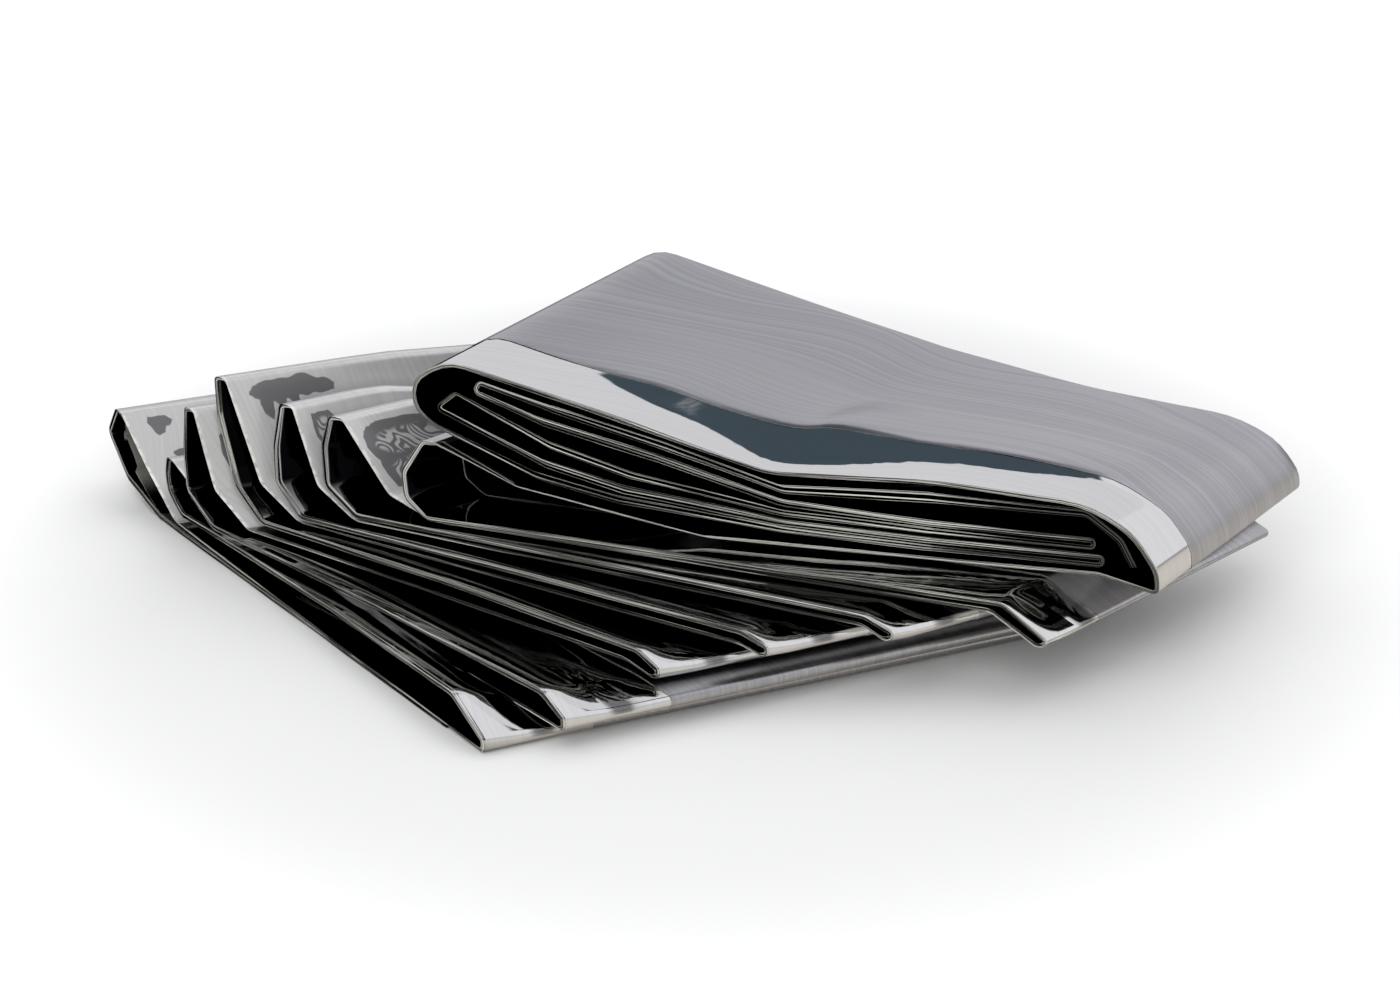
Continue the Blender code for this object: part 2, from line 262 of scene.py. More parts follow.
def stack_corners(share):
    """The flap and all the leaves under the packet, up to the cover's lower side."""
    first_tip = plan_point(RIGHT_FOLDS[0], share)
    flap_end = along(first_tip, plan_point(LEFT_FOLDS[0], share), FLAP_SHORTFALL, HALF)
    corners = [Corner(flap_end, EASE, 0)]
    before = RIGHT_FOLDS[0]
    for left, right, mouth, following in zip(LEFT_FOLDS, RIGHT_FOLDS, MOUTHS, LEFT_FOLDS[1:]):
        land_run = landing_run(left, right, following, share)
        corners += climbing_leaf(before, left, share)
        corners += falling_leaf(left, right, land_run, following.foot_z - PITCH, share)
        corners += right_tip(left, right, mouth, following, share)
        before = right
    last = LEFT_FOLDS[-1]
    corners += climbing_leaf(before, last, share)
    corners += falling_leaf(last, PACKET_RIGHT, BED_RUN, BED_Z, share)
    return corners


def cover_heights(run):
    """The cover's height over the packet's leaves at the front edge and at the back one."""
    points = COVER_TOP[::-1]
    run = min(max(run, points[0].run), points[-1].run)
    for low, high in zip(points, points[1:]):
        if run <= high.run:
            part = (run - low.run) / (high.run - low.run)
            return blend(low.front_z, high.front_z, part), blend(low.back_z, high.back_z, part)


def packet_corners(share):
    """The cover round the packet, then the leaves rolled up in it."""
    left = plan_point(PACKET_LEFT, share)
    right = plan_point(PACKET_RIGHT, share)
    stretch = (right - left).length / PACKET_RUN
    widen = spread(PACKET_LEFT, share, left, right)

    def corner(run, height, reach=EASE):
        point = along(left, right, run * stretch, height)
        return Corner(point, reach, 0) if reach else Corner(point, CREASE_RADIUS, widen)

    def inside(run, front_height, reach=EASE):
        front_top, back_top = cover_heights(run)
        lift = (blend(front_top, back_top, share) - BED_Z) / (front_top - BED_Z)
        return corner(run, BED_Z + (front_height - BED_Z) * lift, reach)

    def stacked(run, front_height, level, reach=EASE):
        even = BED_Z + (cover_heights(run)[1] - BED_Z) * (level + 1) / (len(PACKET_LEAVES) + 1)
        return corner(run, blend(front_height, even, share), reach)

    corners = [corner(point.run, blend(point.front_z, point.back_z, share), point.reach) for point in COVER]
    for number, leaf in enumerate(PACKET_LEAVES):
        stations = [
            inside(leaf.tip_run, leaf.tip_z, 0 if number > 0 else EASE),
            inside(leaf.neck_run, leaf.neck_z),
            inside(leaf.belly_run, leaf.belly_z),
            inside(WAIST_RUN, leaf.waist_z),
            stacked(HIP_RUN, leaf.hip_z, number),
            stacked(leaf.end_run, leaf.end_z, number, 0 if number < len(PACKET_LEAVES) - 1 else EASE),
        ]
        corners += stations if number % 2 == 0 else stations[::-1]
    return corners + [inside(run, height) for run, height in TAIL]


def drawn_out(vector, factor):
    """The vector with its level part made longer."""
    return Vector((vector.x * factor, vector.y * factor, vector.z))


def fold_arc(before, corner, after):
    """Points round one corner of a tight fold, which is a circle when cut square to the fold."""
    towards_before = drawn_out(before - corner.point, 1 / corner.spread).normalized()
    towards_after = drawn_out(after - corner.point, 1 / corner.spread).normalized()
    half_angle = towards_before.angle(towards_after) / 2
    centre = (towards_before + towards_after).normalized() * corner.reach / sin(half_angle)
    first = (towards_before * corner.reach / tan(half_angle) - centre).normalized()
    last = (towards_after * corner.reach / tan(half_angle) - centre).normalized()
    return [corner.point + drawn_out(centre + corner.reach * first.slerp(last, step / FOLD_STEPS),
                                     corner.spread) for step in range(FOLD_STEPS + 1)]


def eased_bend(before, corner, after):
    """Points round a gentle bend, on a parabola between the two sides."""
    middle = corner.point
    first = middle + (before - middle).normalized() * min(corner.reach, (before - middle).length / LEAST_SIDE)
    last = middle + (after - middle).normalized() * min(corner.reach, (after - middle).length / LEAST_SIDE)
    points = []
    for step in range(EASE_STEPS + 1):
        part = step / EASE_STEPS
        points.append(first.lerp(middle, part).lerp(middle.lerp(last, part), part))
    return points


def strip_line(share, counts=None):
    """The strip's middle line at a share of the way back, and how many steps each straight stretch has."""
    corners = stack_corners(share) + packet_corners(share)
    bends = [[corners[0].point]]
    for before, corner, after in zip(corners, corners[1:], corners[2:]):
        bend = fold_arc if corner.spread else eased_bend
        bends.append(bend(before.point, corner, after.point))
    bends.append([corners[-1].point])
    if counts is None:
        counts = [max(1, ceil((after[0] - before[-1]).length / STRAIGHT_STEP))
                  for before, after in zip(bends, bends[1:])]
    line = list(bends[0])
    for before, after, count in zip(bends, bends[1:], counts):
        line += [before[-1].lerp(after[0], step / count) for step in range(1, count)]
        line += after
    return line, counts


def strip_surface():
    """The strip's middle surface, in rows from the front edge to the back edge, and its corner marks."""
    counts = strip_line(0.5)[1]
    rows = []
    for share in BASE_SHARES:
        line = strip_line(share, counts)[0]
        rows.append([point - Vector((*PLAN_CENTRE, 0)) for point in line])
    return np.array(rows), corner_marks(counts)


def corner_marks(counts):
    """Which corner each point of the strip's line is at: whole at a corner, and running on between two."""
    corners = stack_corners(0.5) + packet_corners(0.5)
    marks = [0.0]
    for number, count in enumerate(counts):
        marks += [number + blend(BEND_MARK, 1 - BEND_MARK, step / count) for step in range(1, count)]
        steps = FOLD_STEPS if corners[number + 1].spread else EASE_STEPS
        if number < len(counts) - 1:
            marks += [number + 1 + BEND_MARK * (2 * step / steps - 1) for step in range(steps + 1)]
    return np.array(marks + [float(len(corners) - 1)])


# The corners' names, in the order that the strip passes them from one left fold to the next, and those of
# each rolled leaf.
FALL_CORNERS = ("foot", "knee", "shoulder", "climbed", "crest", "slope", "landing")
TIP_CORNERS = ("low far", "low loft", "low tip", "high tip", "high loft", "high far")
ROLLED_CORNERS = ("tip", "neck", "belly", "waist", "hip", "end")
CORNERS_BETWEEN = len(FALL_CORNERS) + len(TIP_CORNERS)  # from one left fold's foot to the next one's
LAST_FOOT = 1 + len(RIGHT_FOLDS) * CORNERS_BETWEEN  # the last left fold's
COVER_START = LAST_FOOT + len(FALL_CORNERS)  # the cover's first corner
BEND_MARK = 0.25  # how far a bend's points run from its corner's mark

# At those corners, how thick a leaf's folds of foil are and how far apart they lie, against their table.
THICKNESS = (1.0, 1.3, 1.3, 1.0, 0.6, 0.45, 0.5, 1.0, 1.0, 1.0, 1.0, 1.0, 1.0)
APART = (1.0, 1.6, 1.6, 1.0, 0.6, 0.45, 0.5, 1.0, 1.0, 1.0, 1.0, 1.0, 1.0)
ROLLED_THICKNESS = ((0.8, 0.95, 0.95, 0.95, 0.9, 0.8),) * len(PACKET_LEAVES)
LOWER_ROLLED_APART = (0.85, 1.9, 2.1, 1.5, 1.4, 1.0)
TOP_ROLLED_APART = (0.85, 1.9, 2.3, 2.3, 2.5, 1.6)
ROLLED_APART = (LOWER_ROLLED_APART,) * (len(PACKET_LEAVES) - 1) + (TOP_ROLLED_APART,)

# At those corners, where each side of the leaf is inside a fold and painted dark there as shade, 1, and where
# its low side is a left tent's open face. On the rolled leaves both sides get nearly the whole painted shade.
# A face or an edge's line that is to end soon after a corner falls below 0 at the next one.
HIGH_SIDE_IN = (0.5, 1, 1, 1, 1, 1, 1, 0, 0, 0, 0, 0, 0)
LOW_SIDE_IN = (0, 0, 0, 0, 0, 0, 0, 0.5, 1, 1, 1, 1, 0.5)
ALL_ROLLED = ((0.98,) * len(ROLLED_CORNERS),) * len(PACKET_LEAVES)
NOT_ROLLED = ((0,) * len(ROLLED_CORNERS),) * len(PACKET_LEAVES)
TENT_FACE = (0, 0, 0, 0, 1, 1, 1, -5, 0, 0, 0, 0, 0)
# How much painted highlight brightens the lines of film on the front edges there, or painted shade darkens
# them, and where the film buckles behind a right fold's mouth, with a painted dark reflection there.
FALLING_EDGE_HIGHLIGHT = (0, 0, 0, 0, 0.6, 1, 1, -1, 0, 0, 0, 0, 0)
PAINTED_SHADE_ENDS = ((0, 0, 0, 0.3, 0.7, -1.0),) * len(PACKET_LEAVES)
BUCKLE_AND_DARK_REFLECTION_TIP = (0, 0, 0, 0, 0, 0, 0, 0, 0, 0, 0.6, 1, 0)

# A fold of foils lies between two depths of the leaf, measured from its middle towards the side that is
# outside at the right folds. Setback is how far its front edge lies behind the strip's, at the flap and at
# the cover; wander is how unevenly that edge runs.
Fold = namedtuple("Fold", "name low high setback_flap setback_cover wander low_finish high_finish")
FOLDS = (
    Fold("lining_foil", -0.43, -0.36, 0.0, 0.0, 0.2, "satin_foil", "mirror_foil"),
    Fold("inner_fold", -0.33, -0.05, 0.35, 0.3, 0.4, "mirror_foil", "mirror_foil"),
    Fold("middle_fold", 0.0, 0.26, 0.1, 0.1, 0.35, "mirror_foil", "mirror_foil"),
    Fold("second_foil", 0.29, 0.35, 0.3, 0.0, 0.4, "mirror_foil", "mirror_foil"),
    Fold("outer_foil", 0.39, 0.43, 18.0, 11.0, 0.4, "mirror_foil", "brushed_foil"),
)
LOW_SIDE, HIGH_SIDE, EDGES = range(3)  # a fold's finishes, in their order
OUTER_DEPTH = 0.28  # the second foil and the outer one lie further out than this
SETBACK_CORNERS = (50, 90)  # the setback goes from the flap's to the cover's between these corners
WANDER_LENGTH = 19.0  # how slowly the edge wanders along the strip, in millimetres
WANDER_MIDDLE = 0.5  # and how far back on the whole, against the fold's wander
SWAY = 0.06  # how far the whole fold sways in and out, and how slowly
SWAY_LENGTH = 11.0
SWAY_SEED = 3
SEED_STEP = 7.31  # how far apart the noise is read for two seeds, and at which height
NOISE_HEIGHT = 0.5

# Distances of the rows of points from a fold's front edge, in millimetres, and rows from there on back.
EDGE_ROWS = (0.0, 0.25, 0.7, 1.4, 2.4, 3.6, 4.8, 6.0, 7.2, 8.4, 9.6, 10.8, 12.0, 14.0)
BODY_ROWS = 11
EDGE_STEPS = 6  # steps round the fold along each edge
EDGE_OFFSET = 3.0  # how far apart the folds' edges are laid out for the lines of film on them

# Distances behind the front edge: where the buckling film at a right fold and its painted dark reflection
# start, are full, ease and end, where a falling leaf's painted highlight fades from and is gone, and where an
# inner side's painted shade starts and is whole.
BUCKLES = (7.5, 9.5, 11.0, 13.5)
EDGE_SHINE = (0.15, 0.5)
DEEP_IN = (0.0, 0.25)

# The cover's front edge sags. From the run's low distance behind the edge to the high one it rises by
# the tilt, in degrees, and behind that it comes down again to the tables' height.
Sag = namedtuple("Sag", "run low tilt")
SAGS = (
    Sag(12, 10.5, 0), Sag(18, 9.5, 5), Sag(28, 7.4, 10), Sag(38, 6.9, 10), Sag(47, 5.0, 13),
    Sag(53, 3.2, 19), Sag(57, 2.6, 22), Sag(63, 3.0, 20), Sag(72, 5.4, 18), Sag(84, 7.2, 21),
    Sag(95, 8.0, 21), Sag(104, 9.3, 16), Sag(110, 10.5, 0),
)
SAG_HIGH = 12.0
SAG_GONE = 34.0
COVER_CORNERS = (2.6, 3.6, 8, 9)  # from the cover's start: where the sag begins, is whole, eases and ends
UNDER_SHARE = 0.95  # the foils under the second one rise by this share
UNDER_GAP = 0.14  # and hang this far below it, between these distances behind the edge
UNDER_RUN = (1.0, 2.5)

# Inside the first left fold the foils from the second one on stand off the others in a bulge: its height,
# how much further behind the front edge they start, where it starts to sink and is gone, and from the
# fold's shoulder, in corners, where it begins, is whole, eases and ends.
BULGE = 2.6
BULGE_SETBACK = 1.7
BULGE_LENGTH = (8.0, 16.0)
BULGE_CORNERS = (-1.9, -0.5, 0.2, 1.5)

# Dark reflections painted on the tents' faces where they are dented, though the faces keep their shape: the
# left fold's number, the middle's distance behind the front edge and below the crest, half its size each way,
# and its depth: the deep ones are swirled.
DentReflection = namedtuple("DentReflection", "fold behind below half_behind half_below depth")
DENT_REFLECTIONS = (
    DentReflection(0, 6.0, 2.4, 2.4, 0.9, 0.8), DentReflection(0, 12.0, 4.0, 3.6, 0.5, 0.75), DentReflection(0, 5.6, 5.4, 1.8, 0.9, 0.8),
    DentReflection(0, 7.5, 8.6, 2.4, 1.0, 0.8), DentReflection(1, 4.0, 4.0, 1.2, 0.9, 0.75), DentReflection(2, 4.0, 7.0, 0.9, 4.0, 0.75),
    DentReflection(3, 11.0, 2.6, 8.0, 2.2, 0.95), DentReflection(3, 5.5, 5.8, 0.8, 2.4, 0.85), DentReflection(3, 8.2, 6.8, 0.9, 3.2, 0.85),
    DentReflection(3, 11.0, 5.8, 0.7, 2.4, 0.85),
    DentReflection(4, 5.0, 4.6, 1.9, 2.4, 2.2), DentReflection(4, 9.0, 5.0, 0.8, 2.2, 0.85),
    DentReflection(5, 9.0, 5.0, 7.0, 2.4, 2.2), DentReflection(5, 7.0, 10.4, 4.5, 1.6, 2.2),
)
DENT_REFLECTION_SQUARENESS = 4  # the power that makes the painted dark reflections squarer than ovals


def by_corner(marks, round_folds, cover=0.0, rolled=NOT_ROLLED):
    """A value for each point of the strip, from its values at the corners from a left fold's foot to the
    next one's, on the cover and at each rolled leaf's corners."""
    stack = round_folds * len(RIGHT_FOLDS) + round_folds[:len(FALL_CORNERS)]
    values = (round_folds[-1],) + stack + (cover,) * len(COVER)
    for number, leaf in enumerate(rolled):
        values += leaf if number % 2 == 0 else leaf[::-1]
    values += (rolled[-1][-1],) * len(TAIL)
    return np.interp(marks, np.arange(len(values)), values)


def unit(vectors):
    """The vectors at length one."""
    return vectors / np.linalg.norm(vectors, axis=-1, keepdims=True)


def smooth_noise(values, seed):
    """A slow random curve through the values, between -1 and 1."""
    return np.array([noise.noise(Vector((value, seed * SEED_STEP, NOISE_HEIGHT))) for value in values])


def soft_step(values, low, high):
    """From 0 at low to 1 at high, easing in and out."""
    share = np.clip((values - low) / (high - low), 0, 1)
    return share * share * (3 - 2 * share)


def soft_stretch(values, start, full, easing, end):
    """From 0 at start to 1 at full, and from 1 at easing to 0 at end."""
    return soft_step(values, start, full) * (1 - soft_step(values, easing, end))


def sample(surface, normals, shares):
    """Points and normals of the surface at the given shares of the way back, one row of shares each."""
    place = np.interp(shares, BASE_SHARES, np.arange(len(BASE_SHARES)))
    low = np.minimum(place.astype(int), len(BASE_SHARES) - 2)
    part = (place - low)[..., None]
    column = np.arange(surface.shape[1])[None, :]
    points = surface[low, column] * (1 - part) + surface[low + 1, column] * part
    sides = normals[low, column] * (1 - part) + normals[low + 1, column] * part
    return points, unit(sides)


def cover_rise(marks, runs, behind, under):
    """How far the cover stands above its tables' height, behind its sagging front edge. The foils under its
    second one hang a little away from it."""
    own_runs = np.interp(COVER_START + np.arange(len(COVER)), marks, runs)
    cover_run = np.interp(runs, own_runs, [point.run for point in COVER])
    over_top = soft_stretch(marks, *(COVER_START + np.array(COVER_CORNERS)))
    low = np.interp(cover_run, [sag.run for sag in SAGS], [sag.low for sag in SAGS])[None, :]
    tilt = np.interp(cover_run, [sag.run for sag in SAGS], [sag.tilt for sag in SAGS])[None, :]
    rise = np.tan(np.radians(tilt)) * np.clip(behind - low, 0, SAG_HIGH - low)
    rise = rise * (1 - soft_step(behind, SAG_HIGH, SAG_GONE))
    if under:
        rise = rise * UNDER_SHARE - UNDER_GAP * soft_step(behind, *UNDER_RUN)
    return rise * over_top[None, :]


def dent_reflections(marks, runs, behind):
    """How strongly each point of the tents' faces is painted with a dented place's dark reflection."""
    strength = np.zeros(behind.shape)
    for dent_reflection in DENT_REFLECTIONS:
        crest = 1 + dent_reflection.fold * CORNERS_BETWEEN + FALL_CORNERS.index("crest")
        below = (runs - np.interp(crest, marks, runs))[None, :]
        reach = ((behind - dent_reflection.behind) / dent_reflection.half_behind) ** DENT_REFLECTION_SQUARENESS
        reach = reach + ((below - dent_reflection.below) / dent_reflection.half_below) ** DENT_REFLECTION_SQUARENESS
        strength = np.maximum(strength, dent_reflection.depth * np.exp(-reach))
    return strength


# Where a fold of foils lies, in rows from its front edge back: its middle, which way its high side and its
# front edge face, half its thickness, the distance behind the strip's front edge, the share of the bulge
# there, and the strip's width.
Laid = namedtuple("Laid", "middle sides towards_front radius behind bulged width")


def laid_fold(fold, surface, normals, runs, marks, seed):
    """Where a fold of foils lies on the strip."""
    width = np.linalg.norm(surface[-1] - surface[0], axis=-1)
    shoulder = 1 + FALL_CORNERS.index("shoulder")
    standing_off = soft_stretch(marks, *(shoulder + np.array(BULGE_CORNERS))) * (fold.low > OUTER_DEPTH)
    setback = blend(fold.setback_flap, fold.setback_cover, soft_step(marks, *SETBACK_CORNERS))
    setback = setback + fold.wander * (smooth_noise(runs / WANDER_LENGTH, seed) + WANDER_MIDDLE)
    front = (setback + BULGE_SETBACK * standing_off) / width
    edge = np.array(EDGE_ROWS)[:, None] / width[None, :]
    body = np.linspace(0, 1, BODY_ROWS)[1:, None]
    shares = np.concatenate([front + edge, (front + edge[-1]) * (1 - body) + body * np.ones_like(width)])
    behind = shares * width
    points, sides = sample(surface, normals, shares)
    towards_front = unit(points[:-1] - points[1:])
    towards_front = np.concatenate([towards_front, towards_front[-1:]])
    bulged = standing_off[None, :] * (1 - soft_step(behind, *BULGE_LENGTH))
    sway = SWAY * smooth_noise(runs / SWAY_LENGTH, seed + SWAY_SEED)[None, :]
    sway = sway + cover_rise(marks, runs, behind, fold.high < OUTER_DEPTH)
    apart = by_corner(marks, APART, 1.0, ROLLED_APART)
    away = (fold.low + fold.high) / 2 * apart[None, :] + sway + BULGE * bulged
    thickness = by_corner(marks, THICKNESS, 1.0, ROLLED_THICKNESS)
    radius = ((fold.high - fold.low) / 2 * thickness)[:, None]
    return Laid(points + sides * away[..., None], sides, towards_front, radius, behind, bulged, width)


def ring_points(laid, angles):
    """Points round a fold at each place along it: the low side from the back, then the front edge, the high
    side and the back edge."""
    middle, sides, towards_front, radius = laid[:4]
    ring = [middle[row] - sides[row] * radius for row in range(len(middle) - 1, -1, -1)]
    for angle in angles:
        ring.append(middle[0] + radius * (towards_front[0] * sin(angle) - sides[0] * cos(angle)))
    ring += [middle[row] + sides[row] * radius for row in range(len(middle))]
    for angle in angles:
        ring.append(middle[-1] + radius * (sides[-1] * cos(angle) - towards_front[-1] * sin(angle)))
    return np.array(ring)


def ring_faces(rows, turns, columns):
    """The faces between those points, and the finish of each. Each side has its rows, each edge its turns
    between the two sides, and there is a column for each place along the strip."""
    inner = rows + turns
    around = 2 * inner
    faces, finish = [], []
    for row in range(around):
        following = (row + 1) % around
        side = LOW_SIDE if row < rows - 1 else HIGH_SIDE if inner <= row < inner + rows - 1 else EDGES
        for column in range(columns - 1):
            quad = (row * columns + column, following * columns + column,
                    following * columns + column + 1, row * columns + column + 1)
            # Both sides' faces are split along the same diagonal, or thin foil would cut through itself.
            faces.append(quad[1:] + quad[:1] if side == LOW_SIDE else quad)
            finish.append(side)
    for column in (0, columns - 1):
        lower = [(rows - 1 - row) * columns + column for row in range(rows)]
        upper = [(inner + row) * columns + column for row in range(rows)]
        ends = [(lower[row], upper[row], upper[row + 1], lower[row + 1]) for row in range(rows - 1)]
        for first in (rows - 1, inner + rows - 1):
            cap = [(first + step) % around * columns + column for step in range(turns + 2)]
            ends.append(cap[::-1])
        faces += [end[::-1] if column else end for end in ends]
        finish += [EDGES] * len(ends)
    return faces, finish


def round_ring(low_rows, front_rows, high_rows, back_rows=None):
    """One value for each point: on the low side, round the front edge, on the high side and round the back
    edge, which takes the high side's last values unless it has its own."""
    if back_rows is None:
        back_rows = np.tile(high_rows[-1], (len(front_rows), 1))
    return np.concatenate([low_rows[::-1], front_rows, high_rows, back_rows])


def flat_places(laid, runs, angles, seed):
    """Each point's place on the flat strip, in metres. The edges are laid out apart from the sides."""
    turned = np.outer(angles, laid.radius[:, 0])
    from_front = -EDGE_OFFSET * (1 + seed)
    from_back = EDGE_OFFSET * (1 + seed) + laid.width.max()
    across = round_ring(laid.behind, from_front - turned, laid.behind, from_back + turned)
    return np.stack([np.tile(runs, len(across)) * MM, across.reshape(-1) * MM], axis=-1)


def shown_values(laid, runs, marks, turns):
    """What the finishes read at each point of a fold."""
    behind = laid.behind
    from_edge = behind - behind[:1]
    nowhere = np.zeros_like(behind)
    no_edge = np.zeros((turns, len(runs)))
    deep = soft_step(from_edge, *DEEP_IN)
    low_in = by_corner(marks, LOW_SIDE_IN, 1.0, ALL_ROLLED)
    high_in = by_corner(marks, HIGH_SIDE_IN, rolled=ALL_ROLLED)
    face = np.clip(by_corner(marks, TENT_FACE), 0, 1) * (marks < LAST_FOOT)
    face = face * np.ones_like(behind)
    tips = by_corner(marks, BUCKLE_AND_DARK_REFLECTION_TIP) * soft_stretch(behind, *BUCKLES)
    falling = np.clip(by_corner(marks, FALLING_EDGE_HIGHLIGHT, rolled=PAINTED_SHADE_ENDS), -1, 1)
    fading = falling * (1 - soft_step(from_edge, *EDGE_SHINE))
    return {
        # buckling behind the right folds' mouths, with a painted dark reflection
        "buckle_and_dark_reflection": round_ring(nowhere, no_edge, tips),
        # painted highlight along falling leaves' front edges, and painted shade at the rolled leaves' ends
        "falling": round_ring(fading, no_edge + falling, nowhere),
        # painted shade on the folds' inner sides, except where they bulge
        "inside": round_ring(deep * low_in, no_edge, deep * high_in * (1 - laid.bulged)),
        "bulged": round_ring(nowhere, no_edge, laid.bulged),
        "tent_face": round_ring(face, no_edge, nowhere),
        # painted dark reflections on the tents' faces
        "dent_reflection": round_ring(dent_reflections(marks, runs, behind), no_edge, nowhere),
    }


def foil_fold(fold, surface, normals, runs, marks, finishes, seed):
    """One fold of foils along the whole strip, turned over at its front and back edges, and its width."""
    laid = laid_fold(fold, surface, normals, runs, marks, seed)
    angles = np.linspace(0, pi, EDGE_STEPS + 1)[1:-1]
    faces, finish = ring_faces(len(laid.behind), len(angles), len(runs))
    mesh = bpy.data.meshes.new(fold.name)
    mesh.from_pydata((ring_points(laid, angles) * MM).reshape(-1, 3).tolist(), [], faces)
    for name in (fold.low_finish, fold.high_finish, "cut_edges"):
        mesh.materials.append(finishes[name])
    mesh.polygons.foreach_set("material_index", finish)
    layout = mesh.uv_layers.new(name="strip")
    loops = np.zeros(len(mesh.loops), dtype=np.int64)
    mesh.loops.foreach_get("vertex_index", loops)
    flat = flat_places(laid, runs, angles, seed)
    layout.data.foreach_set("uv", flat[loops].astype(np.float32).reshape(-1))
    for name, values in shown_values(laid, runs, marks, len(angles)).items():
        layer = mesh.attributes.new(name, "FLOAT", "POINT")
        layer.data.foreach_set("value", values.astype(np.float32).reshape(-1))
    mesh.polygons.foreach_set("use_smooth", [True] * len(mesh.polygons))
    mesh.update()
    foil = bpy.data.objects.new(fold.name, mesh)
    bpy.context.scene.collection.objects.link(foil)
    return foil, float(np.mean(laid.behind[-1] - laid.behind[0]))


class Nodes:
    """A node tree, with short ways to add to it."""

    def __init__(self, tree):
        self.nodes, self.links = tree.nodes, tree.links

    def feed(self, made, inputs):
        """Gives a node's inputs fixed values or other nodes' outputs. A colour is given without its alpha."""
        for name, value in inputs.items():
            socket = made.inputs[name]
            if isinstance(value, bpy.types.NodeSocket):
                self.links.new(value, socket)
            else:
                socket.default_value = (*value, 1) if socket.type == "RGBA" else value
        return made

    def add(self, kind, inputs=(), **settings):
        """A node with its settings and its inputs."""
        made = self.nodes.new(kind)
        for name, value in settings.items():
            setattr(made, name, value)
        return self.feed(made, dict(inputs))

    def maths(self, operation, *inputs, kind="Math", output="Value", **settings):
        """What an operation makes of its inputs."""
        made = self.add("ShaderNode" + kind, enumerate(inputs), operation=operation, **settings)
        return made.outputs[output]

    def value(self, name):
        """One of the values that the foils' points carry."""
        return self.add("ShaderNodeAttribute", attribute_name=name).outputs["Fac"]

    def strip_noise(self, per_metre, vector=None, detail=2.0, distortion=0.0, output="Fac"):
        """Noise over the flat strip, as fine as given per metre along it and across it."""
        if vector is None:
            vector = self.add("ShaderNodeUVMap", uv_map="strip").outputs["UV"]
        scaled = self.maths("MULTIPLY", vector, (*per_metre, 1.0), kind="VectorMath", output="Vector")
        inputs = {"Vector": scaled, "Scale": 1.0, "Detail": detail, "Distortion": distortion}
        return self.add("ShaderNodeTexNoise", inputs).outputs[output]

    def ramp(self, value, low, high, to_low=0.0, to_high=1.0):
        """The value brought from one range to another, easing in and out."""
        inputs = {"Value": value, "From Min": low, "From Max": high, "To Min": to_low, "To Max": to_high}
        return self.add("ShaderNodeMapRange", inputs, interpolation_type="SMOOTHSTEP").outputs["Result"]

    def mixed(self, factor, start, end):
        """A colour from start to end."""
        inputs = {"Factor": factor, "A": start, "B": end}
        return self.add("ShaderNodeMix", inputs, data_type="RGBA").outputs["Result"]


def new_material(name, values):
    """A material, its nodes and its shader, which has these values."""
    material = bpy.data.materials.new(name)
    material.use_nodes = True
    nodes = Nodes(material.node_tree)
    return material, nodes, nodes.feed(material.node_tree.nodes["Principled BSDF"], values)


# The finishes of the aluminium-coated film: its colour and its streaks' colour, the height of its ripples
# in metres, and its roughness.
Film = namedtuple("Film", "colour streaks ripples roughness")
MIRROR = Film((0.84, 0.84, 0.83), (0.80, 0.80, 0.80), 0.00002, 0.05)
SATIN = Film((0.50, 0.50, 0.50), (0.545, 0.545, 0.54), 0.00003, 0.2)
BRUSHED = Film((0.455, 0.455, 0.475), (0.54, 0.54, 0.56), 0.00004, 0.3)

# How fine the film's patterns are, per metre along the strip and across it.
DRIFT = (14, 14)
STREAKS = (7, 1500)
RIPPLES = (110, 150)
DENT_REFLECTION_EDGES = (150, 120)
SPECKLES = (900, 900)
EDGE_LINES = (34, 6500)

DRIFT_REACH = (0.05, 0.05, 0.0)  # how far the streaks drift from straight, in metres
STREAK_RANGE = (0.35, 0.68)  # the noise's range over which a streak comes up
FOLD_SHADE_AND_DARK_SKY = (0.004, 0.004, 0.005)  # the painted shade inside the folds, and the dark sky between the studio's panels
BUCKLED_HEIGHT = 0.00022  # how much higher the ripples are where the film is buckled, in metres
BUCKLED_DARK_REFLECTION_SHARE = 0.8  # and how far its mirror is painted there towards a dark reflection
# the painted dark reflection's colour, and the range of the buckling over which it comes up
BUCKLED_DARK_REFLECTION_COLOUR = (0.05, 0.05, 0.05)
BUCKLED_DARK_REFLECTION_RANGE = (0.0, 0.6)
BULGED_COLOUR = (0.30, 0.315, 0.27)
BULGED_RANGE = (0.1, 0.5)
BULGED_METALLIC = (1.0, 0.6)  # away from the bulge and on it
BULGED_ROUGHNESS = (0.05, 0.3)

# A dented place's painted dark reflection shows where its strength and a share of the noise together come up
# to the range. Where it is deep enough, swirls of clear film run through it.
DENT_REFLECTION_COLOUR = (0.15, 0.15, 0.155)
DENT_REFLECTION_RANGE = (0.68, 0.73)
DENT_REFLECTION_UNEVEN = 0.5
SWIRL_DEPTH = (1.0, 1.5)
SWIRL_TURNS = 60.0  # how closely the swirls follow one another
SWIRL_RANGE = (-0.3, 0.2)  # the part of each wave over which a swirl comes up, and how clear it is
SWIRL_CLEAR = 0.85
FACE_METALLIC = (1.0, 0.35)  # away from the tents' faces and on them
FACE_ROUGHNESS = (0.05, 0.24)
SHINE_COLOUR = (0.95, 0.93, 0.88)  # a falling leaf's painted highlight, and the noise's range that breaks it up
SHINE_RANGE = (0.35, 0.55)

